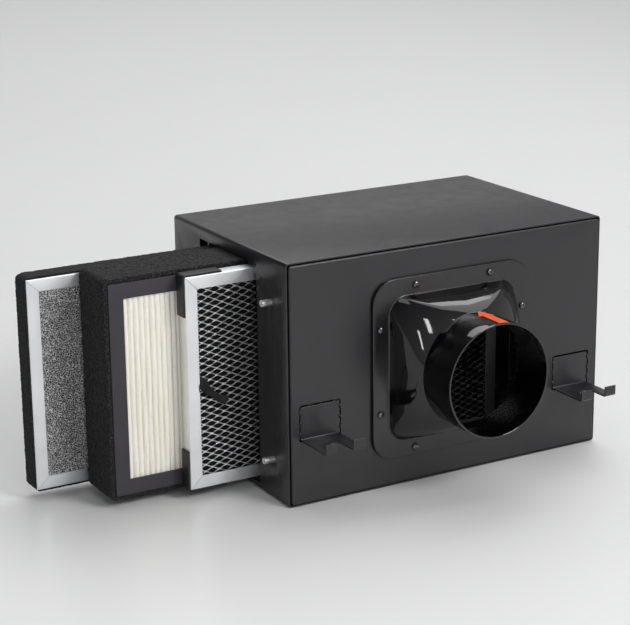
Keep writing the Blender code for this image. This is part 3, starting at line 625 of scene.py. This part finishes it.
def screw_mesh():
    """A cross-recessed pan head on a short shank, head up local Z, seat at z = 0."""
    radius, height, shank = 0.0029, 0.0019, 0.00145
    dome = bezier((0, height), (radius * 0.92, height), (radius, 0.0004), 8)
    head = turned("screw", [*dome, (radius, 0.0001), (radius - 0.0001, 0), (shank, 0), (shank, -0.006),
                            (0, -0.0072)], 40)
    reach, half = 0.0016, 0.00032
    for turn in (0.3, 0.3 + math.pi / 2):
        slot = box_mesh("slot", (-reach, -half, 0.0007), (reach, half, 0.004))
        head = cut_out("screw", head, moved(slot, Matrix.Rotation(turn, 4, "Z")))
    return head


def collar_screws(end_name, end, mesh):
    seat = END_Y + COLLAR_THICKNESS + 2 * GAP
    for number in range(1, 9):
        node = f"{end_name}_screw_{number}"
        middle = centre_of(node)
        turn = Matrix.Rotation(-end * math.pi / 2, 4, "X")
        spin = Matrix.Rotation(0.7 * number, 4, "Z")
        place = Matrix.Translation((middle.x, end * seat, middle.z)) @ turn @ spin
        piece(f"{end_name}_pan_head_{number}", mesh, "black_zinc", "housing", [node], place)


def airflow_arrow():
    """The arrow label, wrapped over the top of the spigot with its head towards the box."""
    low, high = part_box("airflow_arrow")
    radius, thickness, lean = DUCT_RADIUS + 0.00005, 0.00022, 4.5
    length = high.y - low.y
    head, shaft = 0.013, 0.0046
    stations = [(0.0, 0.0003), (0.15 * head, 0.0013), (0.5 * head, 0.0041), (0.97 * head, 0.0077),
                (head, 0.0078), (head + 0.0001, shaft)]
    stations += [(head + (length - head) * i / 8, shaft) for i in range(1, 9)]
    across = 16
    points, faces = [], []
    for distance, half_width in stations:
        for lift in (0, thickness):
            for i in range(across + 1):
                angle = math.radians(90 - lean) + (2 * i / across - 1) * half_width / radius
                points.append(((radius + lift) * math.cos(angle), high.y - distance,
                               DUCT_Z + (radius + lift) * math.sin(angle)))
    row = 2 * (across + 1)
    for station in range(len(stations) - 1):
        base, above = station * row, (station + 1) * row
        loop = list(range(across + 1)) + list(range(row - 1, across, -1))
        for a, b in zip(loop, loop[1:] + loop[:1]):
            faces.append((base + a, base + b, above + b, above + a))
    for base in (0, (len(stations) - 1) * row):
        for i in range(across):
            faces.append((base + i, base + i + 1, base + across + 2 + i, base + across + 1 + i))
    piece("arrow_label", mesh_from("arrow_label", points, faces), "label_orange", "housing",
          ["airflow_arrow"])


# ------------ hanging hooks
def folded_path(corners, radius, steps=8):
    path = [Vector(corners[0])]
    for before, corner, after in zip(corners, corners[1:], corners[2:]):
        corner = Vector(corner)
        arrive = (Vector(before) - corner).normalized()
        leave = (Vector(after) - corner).normalized()
        centre = corner + (arrive + leave) * radius
        for step in range(steps + 1):
            angle = math.radians(90 * step / steps)
            path.append(centre - leave * radius * math.cos(angle) - arrive * radius * math.sin(angle))
    path.append(Vector(corners[-1]))
    return path


def weld_bead(place, seed):
    """A small lumpy tack weld."""
    bm = bmesh.new()
    bmesh.ops.create_icosphere(bm, subdivisions=3, radius=1.0)
    for vert in bm.verts:
        lump = 1 + 0.22 * noise.noise(vert.co * 1.6 + Vector((seed * 3.1, 0, 0)))
        vert.co = Vector(a * b for a, b in zip(vert.co, WELD_SIZE)) * lump
    mesh = mesh_from_bmesh("bead", bm, 60)
    mesh.transform(place)
    return mesh


def hanging_hook(name, x, end, node):
    """A folded fork: a plate in the panel's window, a slotted shelf and two upturned lips."""
    low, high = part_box(node)
    top, width = high.z, HOOK_WIDTH
    reach = max(abs(low.y), abs(high.y)) - END_Y - SHEET / 2
    shelf = low.z + SHEET / 2
    corners = [(SHEET / 2, top), (SHEET / 2, shelf), (-reach, shelf), (-reach, shelf + HOOK_LIP)]
    bm = bmesh.new()
    rows = [[bm.verts.new((side * width / 2, y - END_Y, z)) for side in (-1, 1)]
            for y, z in folded_path(corners, HOOK_FOLD)]
    for lower, upper in zip(rows, rows[1:]):
        bm.faces.new((lower[0], lower[1], upper[1], upper[0]))
    thick = ("SOLIDIFY", {"thickness": SHEET, "offset": 0, "use_even_offset": True})
    strip = modified("hook", mesh_from_bmesh("hook", bm), thick)

    half, depth, past = 0.007, 0.0195, -0.06         # the slot: a round end, open at the lips
    outline = [(half, past), *arc((0, -depth - half), half, 0, 180, 24), (-half, past)]
    cutters = [loft("slot", [[(px, py - END_Y, z) for px, py in outline]
                             for z in (shelf - 0.01, shelf + 0.02)], capped=True)]
    curve = arc((width / 2 - HOOK_CORNER, top - HOOK_CORNER), HOOK_CORNER, 0, 90, 6)
    beyond = (width / 2 + 0.002, top + 0.002)
    curve += [(curve[-1][0], beyond[1]), beyond, (beyond[0], curve[0][1])]
    for side in (-1, 1):
        cutters.append(upright_prism("corner", [(side * px, z) for px, z in curve],
                                     -END_Y - 0.003, -END_Y + 0.003))
    rounded = ("BEVEL", {**EASED_EDGES[1], "width": 0.0004, "segments": 3})
    parts = [cut_out("hook", strip, join_meshes("cutters", cutters), rounded)]
    for side in (-1, 1):
        for number, share in enumerate((0.2, 0.52, 0.84)):
            where = (side * (width / 2 + 0.4 * WINDOW_SIDE), -END_Y + 0.0001,
                     shelf + share * (top - shelf))
            parts.append(weld_bead(Matrix.Translation(where), x * 40 + side + 2.3 * number))
    piece(name, join_meshes(name, parts), "powder_coat", "housing", [node],
          Matrix.Translation((centre_of(node).x, 0, 0)) @ facing(end))


# ------------ cartridge frames
def mitred_channel(length, face, depth):
    """A folded U channel along X, open downwards, outer edge at z = 0 and front at y = 0."""
    sheet, bend, mitre, eased = CHANNEL_SHEET, 0.0007, 0.0002, 0.0001
    fold = [(bend - bend * math.cos(a), bend - bend * math.sin(a))
            for a in (math.radians(90 * i / 4) for i in range(5))]
    profile = [(face, eased), (face - eased, 0), *fold[::-1]]
    profile += [(inset, depth - y) for inset, y in fold]
    profile += [(face - eased, depth), (face, depth - eased), (face, depth - sheet),
                (sheet, depth - sheet), (sheet, sheet), (face, sheet)]
    ends = [[(side * (length / 2 - mitre - inset), y, -inset) for inset, y in profile]
            for side in (-1, 1)]
    return loft("channel", ends, 35, capped=True)


def channel_frame(prefix, body, face):
    """Four mitred channels in the places of the cartridge's frame nodes."""
    top_low, top_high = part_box(f"{prefix}_frame_top")
    left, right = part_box(f"{prefix}_frame_outer")[0].x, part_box(f"{prefix}_frame_inner")[1].x
    bottom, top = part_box(f"{prefix}_frame_bottom")[0].z, top_high.z
    width, height = right - left, top - bottom
    front, depth = top_low.y, top_high.y - top_low.y
    middle_x, middle_z = (left + right) / 2, (bottom + top) / 2
    sides = [("top", width, 0, (middle_x, top)), ("bottom", width, math.pi, (middle_x, bottom)),
             ("outer", height, -math.pi / 2, (left, middle_z)),
             ("inner", height, math.pi / 2, (right, middle_z))]
    for side, length, turn, (x, z) in sides:
        place = Matrix.Translation((x, front, z)) @ Matrix.Rotation(turn, 4, "Y")
        piece(f"{prefix}_channel_{side}", mitred_channel(length, face, depth), "aluminium", body,
              [f"{prefix}_frame_{side}"], place)


# ------------ prefilter
def expanded_metal(name, node, body):
    """Zigzag strands, each bonded to the next, tilted as slit and stretched sheet is."""
    low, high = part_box(node)
    strand, thickness, tilt, bond = 0.00100, 0.0005, math.radians(28), 0.0020
    wide = Vector((0, -math.sin(tilt), math.cos(tilt))) * strand / 2
    thick = Vector((0, math.cos(tilt), math.sin(tilt))) * thickness / 2
    middle_y = (low.y + high.y) / 2
    rows = int((high.z - low.z) / (MESH_SHORT / 2))
    columns = int((high.x - low.x) / (MESH_LONG / 2))
    swing = MESH_SHORT / 4 - 0.42 * strand
    start_x = (low.x + high.x) / 2 - columns * MESH_LONG / 4
    start_z = (low.z + high.z) / 2 - (rows - 1) * MESH_SHORT / 4
    section = [wide + thick, wide - thick, -wide - thick, -wide + thick]
    points, faces = [], []
    for row in range(rows):
        path = []
        for column in range(columns + 1):
            x = start_x + column * MESH_LONG / 2
            z = start_z + row * MESH_SHORT / 2 + (swing if (row + column) % 2 else -swing)
            for offset in (-bond / 2, bond / 2):
                path.append(Vector((min(max(x + offset, low.x), high.x), middle_y, z)))
        first = len(points)
        for point in path:
            points += [point + corner for corner in section]
        for i in range(len(path) - 1):
            a, b = first + 4 * i, first + 4 * i + 4
            faces += [(a + j, a + (j + 1) % 4, b + (j + 1) % 4, b + j) for j in range(4)]
        last = first + 4 * (len(path) - 1)
        faces += [(first, first + 1, first + 2, first + 3), (last, last + 1, last + 2, last + 3)]
    piece(name, mesh_from(name, points, faces, 25), "expanded", body, [node])


def roughened(mesh, layers):
    """Moves each point along its normal by noise; layers are (cycles per metre, depth)."""
    count = len(mesh.vertices)
    normals = np.zeros(count * 3)
    mesh.vertices.foreach_get("normal", normals)
    places = np.zeros(count * 3)
    mesh.vertices.foreach_get("co", places)
    places, normals = places.reshape(-1, 3), normals.reshape(-1, 3)
    shift = np.zeros(count)
    for scale, depth in layers:
        shift += depth * np.array([noise.noise(Vector(point) * scale) for point in places])
    places += normals * shift[:, None]
    mesh.vertices.foreach_set("co", places.astype(np.float32).ravel())
    mesh.update()


def padded_slab(name, node, finish, body, step, layers):
    """A full, flat pad whose front and back are fine grids, roughened."""
    low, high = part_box(node)
    columns = int((high.x - low.x) / step)
    rows = int((high.z - low.z) / step)
    points, faces = [], []
    for y in (low.y, high.y):
        for row in range(rows + 1):
            for column in range(columns + 1):
                points.append((low.x + (high.x - low.x) * column / columns, y,
                               low.z + (high.z - low.z) * row / rows))
    stride, layer = columns + 1, (columns + 1) * (rows + 1)
    for side in (0, layer):
        for row in range(rows):
            for column in range(columns):
                a = side + row * stride + column
                faces.append((a, a + 1, a + stride + 1, a + stride))
    rim = list(range(columns))
    rim += [columns + row * stride for row in range(rows)]
    rim += [rows * stride + column for column in range(columns, 0, -1)]
    rim += [row * stride for row in range(rows, 0, -1)]
    for a, b in zip(rim, rim[1:] + rim[:1]):
        faces.append((a, b, b + layer, a + layer))
    mesh = mesh_from(name, points, faces, 180)
    roughened(mesh, layers)
    piece(name, mesh, finish, body, [node])


def corner_caps():
    """L clips over the frame's corners, wrapped a little round the rim's edges."""
    outer, curve, chamfer = 0.0015, 0.0034, 0.0004
    for corner, side_x, side_z, turn in (("inner_top", 1, 1, 0), ("inner_bottom", 1, -1, 90),
                                         ("outer_bottom", -1, -1, 180), ("outer_top", -1, 1, 270)):
        node = f"prefilter_cap_{corner}"
        low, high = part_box(node)
        leg = high.x - low.x - outer
        outline = [(0, -leg), (outer, -leg + chamfer), *arc((outer - curve, outer - curve), curve, 0, 90, 10),
                   (-leg + chamfer, outer), (-leg, 0), (0, 0)]
        mesh = modified(node, upright_prism(node, outline, low.y, high.y), EASED_EDGES)
        corner_x = high.x - outer if side_x > 0 else low.x + outer
        corner_z = high.z - outer if side_z > 0 else low.z + outer
        piece(f"corner_cap_{corner}", mesh, "black_plastic", "prefilter", [node],
              Matrix.Translation((corner_x, 0, corner_z)) @ Matrix.Rotation(math.radians(turn), 4, "Y"))


def blended(values, t):
    """A smooth curve through the values, at a share t of its length."""
    place = t * (len(values) - 1)
    i = min(int(place), len(values) - 2)
    f = place - i
    before, after = values[max(i - 1, 0)], values[min(i + 2, len(values) - 1)]
    a, b = values[i], values[i + 1]
    return 0.5 * (2 * a + (b - before) * f + (2 * before - 5 * a + 4 * b - after) * f * f
                  + (3 * a - before - 3 * b + after) * f ** 3)


def pull_tab():
    """A short webbing strap from behind the frame's edge, drooping and twisting as it goes."""
    frame_low, frame_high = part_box("prefilter_frame_outer")
    root = Vector((frame_high.x, frame_low.y, (frame_low.z + frame_high.z) / 2 - 0.0013))
    spine = [Vector(p) for p in (
        (-0.0015, 0.0006, 0.0), (0.0016, 0.0002, -0.0004), (0.0056, -0.0016, -0.0046),
        (0.0108, -0.0032, -0.0088), (0.0165, -0.0042, -0.0130), (0.0228, -0.0040, -0.0160))]
    across = [Vector(p) for p in (
        (0, 0, 1.0), (0.02, -0.02, 1.0), (0.34, -0.80, 0.60), (0.30, -0.88, 0.46),
        (0.30, -0.60, 0.62), (0.16, -0.20, 0.80))]
    widths = [0.0135, 0.0130, 0.0105, 0.0092, 0.0092, 0.0088]
    along_steps, across_steps, thickness = 40, 10, 0.0011
    rings = []
    for step in range(along_steps + 1):
        t = step / along_steps
        centre = root + blended(spine, t)
        forward = (blended(spine, min(t + 0.01, 1)) - blended(spine, max(t - 0.01, 0))).normalized()
        side = blended(across, t)
        side = (side - forward * side.dot(forward)).normalized()
        out = forward.cross(side).normalized() * thickness / 2
        half = blended(widths, t) / 2
        ring = []
        for sign in (-1, 1):
            for i in range(across_steps + 1):
                share = (2 * i / across_steps - 1) * -sign
                edge = 1 - 0.5 * abs(share) ** 8
                ring.append(centre + side * half * share + out * sign * edge)
        rings.append(ring)
    obj = piece("pull_strap", loft("pull_strap", rings, 50, capped=True), "webbing", "prefilter",
                ["prefilter_pull_tab"])


# ------------ pleated and carbon cartridges
def soft_ring(name, node, finish, body, corner, thickness, step, layers):
    """A soft strip wrapped round a cartridge: a fine ring with a rough outer skin."""
    low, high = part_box(node)
    middle = (low + high) / 2
    half_x, half_z = (high.x - low.x) / 2, (high.z - low.z) / 2
    front, back = low.y + SOFT_INSET, high.y - SOFT_INSET
    ease = 0.35 * thickness
    section = [(d, y) for y, d in arc((front + ease, ease), ease, 180, 270, 4)]
    span = back - front - 2 * ease
    pieces = max(2, int(span / step))
    section += [(0, front + ease + span * i / pieces) for i in range(1, pieces)]
    section += [(d, y) for y, d in arc((back - ease, ease), ease, 270, 360, 4)]
    inward = max(1, int((thickness - ease) / step))
    section += [(ease + (thickness - ease) * i / inward, back) for i in range(1, inward + 1)]
    section += [(thickness - (thickness - ease) * i / inward, front) for i in range(inward)]

    outline = []
    straight_x, straight_z = half_x - corner, half_z - corner
    signs = ((1, 1), (-1, 1), (-1, -1), (1, -1))
    for quarter, (sx, sz) in enumerate(signs):
        start = Vector((sx * straight_x, 0, sz * straight_z))
        for i in range(9):
            angle = math.radians(90 * (quarter + i / 8))
            outward = Vector((math.cos(angle), 0, math.sin(angle)))
            outline.append((start, outward))
        sx, sz = signs[(quarter + 1) % 4]
        end = Vector((sx * straight_x, 0, sz * straight_z))
        steps = int((end - start).length / step)
        outline += [(start.lerp(end, i / steps), outward) for i in range(1, steps)]
    rings = []
    for centre, outward in outline:
        rings.append([middle + centre + outward * (corner - SOFT_INSET - d) + Vector((0, y - middle.y, 0))
                      for d, y in section])
    mesh = loft(name, rings, sharp=180)
    roughened(mesh, layers)
    piece(name, mesh, finish, body, [node])


def hepa_frame():
    """Folded board frame, its edges a little soft."""
    low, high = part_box("hepa_frame")
    half_x, half_z = (high.x - low.x) / 2, (high.z - low.z) / 2
    depth = high.y - low.y
    face, board, lip, ease, cut = 0.013, 0.003, 0.0015, 0.0005, 0.0002

    def ring(inset, y):
        return rounded_ring(half_x - inset, half_z - inset, max(0.0009, 0.0012 - 0.2 * inset), y, steps=4)

    rings = [ring(face, lip), ring(face, cut), ring(face - cut, 0)]
    rings += [ring(inset, y) for inset, y in bezier((ease, 0), (0, 0), (0, ease), 4)]
    rings += [ring(inset, y) for inset, y in bezier((0, depth - ease), (0, depth), (ease, depth), 4)]
    rings += [ring(face - cut, depth), ring(face, depth - cut), ring(face, depth - lip),
              ring(board, depth - lip), ring(board, lip)]
    middle = (low + high) / 2
    piece("board_frame", loft("board_frame", rings), "frame_board", "hepa_filter", ["hepa_frame"],
          Matrix.Translation((middle.x, low.y, middle.z)))


def pleats():
    """Filter paper in round-tipped folds that wander a little, as hand-loaded paper does."""
    low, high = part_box("hepa_pleat_pack")
    wide, narrow = 0.00215, 0.0009
    count = int((high.x - low.x) / PLEAT_PITCH)
    middle = (low + high) / 2
    first = middle.x - count * PLEAT_PITCH / 2 + PLEAT_PITCH / 4
    front, back = low.y + 0.0002, high.y - 0.0002
    path = []
    for fold in range(2 * count):
        x = first + fold * PLEAT_PITCH / 2
        if fold % 2 == 0:
            tip, centre_y, turns = wide, front + wide, [180 + 180 * i / 8 for i in range(9)]
        else:
            tip, centre_y, turns = narrow, back - narrow, [180 - 180 * i / 4 for i in range(5)]
        for turn in turns:
            angle = math.radians(turn)
            path.append((fold, x + tip * math.cos(angle), centre_y + tip * math.sin(angle)))
    levels = 36
    points = []
    for level in range(levels + 1):
        z = low.z + (high.z - low.z) * level / levels
        for fold, x, y in path:
            wander = 0.00035 * noise.noise(Vector((fold * 0.9, z * 22, 0)))
            sway = 0.00045 * noise.noise(Vector((x * 30, z * 9, 5)))
            depth = 0.0005 * noise.noise(Vector((fold * 1.7, z * 14, 9)))
            points.append((x + wander + sway, y + abs(depth) * (1 if y < middle.y else -1), z))
    width = len(path)
    faces = [(level * width + i, level * width + i + 1, (level + 1) * width + i + 1, (level + 1) * width + i)
             for level in range(levels) for i in range(width - 1)]
    sheet = mesh_from("pleats", points, faces, 180)
    mesh = modified("pleats", sheet, ("SOLIDIFY", {"thickness": 0.0003, "offset": 0}), sharp=60)
    piece("pleated_paper", mesh, "filter_paper", "hepa_filter", ["hepa_pleat_pack"])


# ------------ assembly
housing_shell()
end_panel("inlet_panel_skin", -1, "front_panel")
end_panel("outlet_panel_skin", 1, "rear_panel")
cover_standoffs()
duct_collar("inlet_duct_collar", -1, "inlet_collar")
duct_collar("outlet_duct_collar", 1, "outlet_collar")
pan_head = screw_mesh()
collar_screws("inlet", -1, pan_head)
collar_screws("outlet", 1, pan_head)
airflow_arrow()
for end_label, end_sign in (("front", -1), ("rear", 1)):
    for side_label, side_sign in (("left", -1), ("right", 1)):
        hanging_hook(f"rod_hook_{end_label}_{side_label}", side_sign, end_sign,
                     f"hanging_hook_{end_label}_{side_label}")
for rail in ("guide_rail_lower", "guide_rail_upper"):
    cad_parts[rail].data.materials.clear()
    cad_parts[rail].data.materials.append(MATERIALS["galvanised"])

channel_frame("prefilter", "prefilter", 0.011)
expanded_metal("expanded_mesh_front", "prefilter_mesh_front", "prefilter")
expanded_metal("expanded_mesh_back", "prefilter_mesh_back", "prefilter")
padded_slab("prefilter_fleece", "prefilter_pad", "black_fleece", "prefilter", 0.002,
            [(260.0, 0.0003), (90.0, 0.0003)])
corner_caps()
pull_tab()

hepa_frame()
pleats()
soft_ring("foam_strip", "hepa_foam_wrap", "black_foam", "hepa_filter", 0.0055, 0.0045, 0.0012,
          [(650.0, 0.0006), (260.0, 0.0004)])

channel_frame("carbon", "carbon_filter", 0.0107)
padded_slab("reticulated_foam", "carbon_foam_slab", "carbon_foam", "carbon_filter", 0.0012,
            [(420.0, 0.0010), (200.0, 0.0005)])
soft_ring("felt_strip", "carbon_felt_wrap", "black_felt", "carbon_filter", 0.0065, 0.0019, 0.0011,
          [(750.0, 0.00045), (260.0, 0.0003)])


# ------------ floor, light and camera
def studio_floor():
    """A pale seamless sheet of paper, flat under the object and turning up far behind it."""
    recipe = Recipe("studio_paper")
    recipe.colour(recipe.noise(0.6, 2.0), (0.2, grey(0.735)), (0.8, grey(0.765)))
    recipe.roughness(recipe.spread(recipe.noise(3.0, 2.0), 0.36, 0.44))
    bend, flat = 1.5, 5.5
    profile = [(-7.0, 0.0), (flat, 0.0), *arc((flat, bend), bend, -90, 0, 16)[1:], (7.0, 7.0)]
    points = [(side * 12.0, y, z) for y, z in profile for side in (-1, 1)]
    faces = [(2 * i, 2 * i + 1, 2 * i + 3, 2 * i + 2) for i in range(len(profile) - 1)]
    mesh = bpy.data.meshes.new("studio_floor")
    mesh.from_pydata(points, [], faces)
    mesh.shade_smooth()
    mesh.materials.append(recipe.material)
    floor = add_object("studio_floor", mesh)
    floor.rotation_euler = (0, 0, math.radians(-30))
    floor.location = (0, 0, -0.0002)


def studio_world():
    """An even pale room that is dimmer overhead and to the left."""
    world = bpy.data.worlds.new("studio")
    world.use_nodes = True
    tree = world.node_tree
    direction = add_node(tree, "ShaderNodeTexCoord").outputs["Generated"]
    turned_to = add_node(tree, "ShaderNodeVectorMath", {0: direction, 1: (0.55, -0.35, -0.75)},
                         operation="DOT_PRODUCT").outputs["Value"]
    share = add_node(tree, "ShaderNodeMapRange", {"Value": turned_to, "From Min": -1.0}).outputs["Result"]
    tone = add_ramp(tree, share, [(0.0, (0.05, 0.052, 0.06)), (0.75, (0.62, 0.62, 0.63))])
    background = tree.nodes["Background"]
    tree.links.new(tone, background.inputs["Color"])
    background.inputs["Strength"].default_value = 1.0
    bpy.context.scene.world = world


LIGHTS = [
    # name, location, target, size, power
    ("key", (0.9, -2.3, 1.75), (0, 0, 0.08), (0.9, 0.9), 42.0),
    ("strip_low", (-1.3, -1.9, 0.8), (0, 0, 0.1), (0.12, 0.6), 2.6),
    ("strip_high", (-0.6, -1.9, 1.4), (0, 0, 0.1), (0.16, 0.7), 4.0),
    ("overhead", (1.25, 0.10, 2.2), (0, 0, 0), (1.9, 1.6), 15.0),
    ("zenith", (-0.4, 0.3, 2.6), (0, 0, 0), (1.5, 1.5), 10.0),
    ("backdrop", (1.1, 2.6, 3.4), (1.9, 2.8, 0), (4.0, 3.0), 85.0),
]


def soft_light(name, location, target, size, power):
    light = bpy.data.lights.new(name, "AREA")
    light.shape = "RECTANGLE"
    light.size, light.size_y = size
    light.energy = power
    lamp = add_object(name, light)
    lamp.location = location
    lamp.rotation_euler = (Vector(target) - Vector(location)).to_track_quat("-Z", "Y").to_euler()


def studio():
    studio_floor()
    studio_world()
    bpy.context.scene.view_settings.view_transform = "Standard"
    for light in LIGHTS:
        soft_light(*light)
    camera = bpy.data.cameras.new("camera")
    camera.lens = 107.13
    camera.sensor_width = 36.0
    camera.clip_start, camera.clip_end = 0.05, 40.0
    view = add_object("camera", camera)
    view.location = (-0.8487, -1.3626, 0.5856)
    view.rotation_euler = (math.radians(73.807), math.radians(0.638), math.radians(-29.849))
    bpy.context.scene.camera = view


studio()
